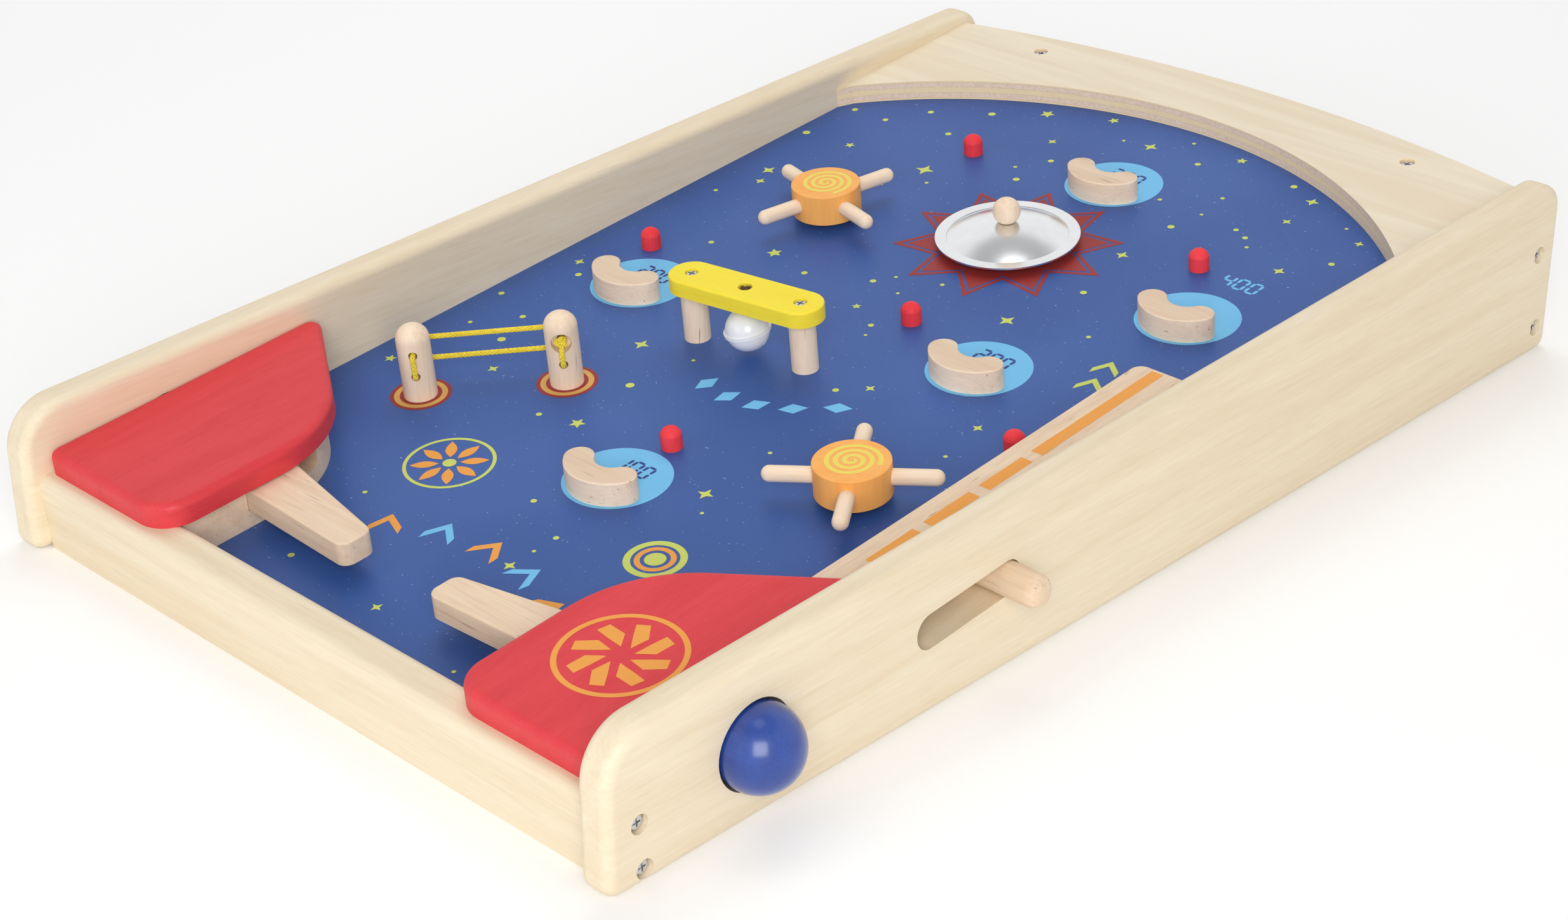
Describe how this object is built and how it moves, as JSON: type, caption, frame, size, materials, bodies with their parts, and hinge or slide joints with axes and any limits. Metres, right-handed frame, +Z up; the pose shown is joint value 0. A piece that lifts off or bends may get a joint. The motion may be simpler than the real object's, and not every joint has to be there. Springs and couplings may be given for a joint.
{
  "type": "tabletop pinball game",
  "caption": "Wooden tabletop pinball game with a sloped playfield, flippers worked by side buttons, a spring plunger, spinners, a gong, a hanging bell and bumper blocks.",
  "frame": {"origin": "middle of the bounding box, on the table", "axes": "+Z up, +X to the player's right, +Y away from the player along the game's length"},
  "size_m": [0.4045, 0.6086, 0.0841],
  "materials": {
    "case_wood": "clear satin lacquer",
    "plywood": "clear satin lacquer, layered edge",
    "blue_board": "printed, satin lacquer",
    "red_wood": "satin paint",
    "turned_wood": "clear satin lacquer",
    "red_peg": "gloss paint",
    "orange_wood": "satin paint, printed top",
    "yellow_wood": "satin paint",
    "blue_wood": "gloss paint",
    "steel": "zinc plated",
    "bright_dome": "polished",
    "white_paint": "gloss paint",
    "yellow_cord": "braided elastic cord",
    "dark_cord": "twisted cord"
  },
  "bodies": {
    "base": {"left_side_panel": "case_wood", "right_side_panel": "case_wood", "front_rail": "case_wood", "back_rail": "case_wood", "playfield": "blue_board", "arch_plate": "plywood", "panel_screws": "steel", "plate_screws": "steel", "left_cover": "red_wood", "right_cover": "red_wood", "left_flipper_block": "case_wood", "right_flipper_block": "case_wood", "left_flipper_pin": "steel", "right_flipper_pin": "steel", "left_button_spring": "steel", "right_button_spring": "steel", "lane_wall": "case_wood", "lane_roof": "case_wood", "plunger_stop": "case_wood", "plunger_spring": "steel", "rear_bumper": "turned_wood", "left_bumper": "turned_wood", "middle_bumper": "turned_wood", "front_bumper": "turned_wood", "right_bumper": "turned_wood", "rear_left_peg": "red_peg", "left_peg": "red_peg", "rear_right_peg": "red_peg", "middle_peg": "red_peg", "front_peg": "red_peg", "right_peg": "red_peg", "left_band_post": "turned_wood", "right_band_post": "turned_wood", "band_cord": "yellow_cord", "bridge_bar": "yellow_wood", "bridge_left_leg": "turned_wood", "bridge_right_leg": "turned_wood", "bridge_screws": "steel", "bell_knot": "dark_cord", "front_spinner_pin": "steel", "rear_spinner_pin": "steel", "gong_post": "steel", "gong_knob": "turned_wood"},
    "left_flipper": {"left_flipper": "turned_wood"},
    "right_flipper": {"right_flipper": "turned_wood"},
    "left_button": {"left_button_ball": "blue_wood", "left_button_rod": "turned_wood"},
    "right_button": {"right_button_ball": "blue_wood", "right_button_rod": "turned_wood"},
    "plunger": {"plunger_handle": "turned_wood", "plunger_hammer": "case_wood"},
    "front_spinner": {"front_spinner_disc": "orange_wood", "front_spinner_spokes": "turned_wood"},
    "rear_spinner": {"rear_spinner_disc": "orange_wood", "rear_spinner_spokes": "turned_wood"},
    "gong": {"gong_dome": "bright_dome"},
    "bell": {"bell_shell": "white_paint", "bell_cord": "dark_cord", "bell_pellet": "steel"}
  },
  "joints": [
    {"name": "left_flipper_swing", "type": "hinge", "parent": "base", "child": "left_flipper", "pos_m": [-0.108, -0.21996, 0.03539], "axis": [0, -0.0924, 0.9957], "range_deg": [0, 36]},
    {"name": "right_flipper_swing", "type": "hinge", "parent": "base", "child": "right_flipper", "pos_m": [0.108, -0.21996, 0.03539], "axis": [0, 0.0924, -0.9957], "range_deg": [0, 36]},
    {"name": "left_button_push", "type": "slide", "parent": "base", "child": "left_button", "axis": [1, 0, 0], "range_m": [0, 0.00816], "stiffness_N_per_m": 250, "springref_m": -0.006, "deforming": ["left_button_spring"]},
    {"name": "right_button_push", "type": "slide", "parent": "base", "child": "right_button", "axis": [-1, 0, 0], "range_m": [0, 0.00816], "stiffness_N_per_m": 250, "springref_m": -0.006, "deforming": ["right_button_spring"]},
    {"name": "plunger_pull", "type": "slide", "parent": "base", "child": "plunger", "axis": [0, -0.9957, -0.0924], "range_m": [0, 0.043], "stiffness_N_per_m": 150, "springref_m": -0.012, "deforming": ["plunger_spring"]},
    {"name": "front_spinner_turn", "type": "hinge", "parent": "base", "child": "front_spinner", "pos_m": [0.09095, -0.08294, 0.04559], "axis": [0, -0.0924, 0.9957], "continuous": true},
    {"name": "rear_spinner_turn", "type": "hinge", "parent": "base", "child": "rear_spinner", "pos_m": [-0.08743, 0.09133, 0.06175], "axis": [0, -0.0924, 0.9957], "continuous": true},
    {"name": "gong_turn", "type": "hinge", "parent": "base", "child": "gong", "pos_m": [-0.00101, 0.12148, 0.06154], "axis": [0, -0.0924, 0.9957], "continuous": true},
    {"name": "bell_swing", "type": "hinge", "parent": "base", "child": "bell", "pos_m": [-0.0264, -0.02432, 0.06448], "axis": [0.9885, 0.1506, 0.014], "range_deg": [-35, 35]}
  ],
  "couplings": [
    {"joint": "left_flipper_swing", "follows": "left_button_push", "rad_per_m": 76.923},
    {"joint": "right_flipper_swing", "follows": "right_button_push", "rad_per_m": 76.923}
  ]
}
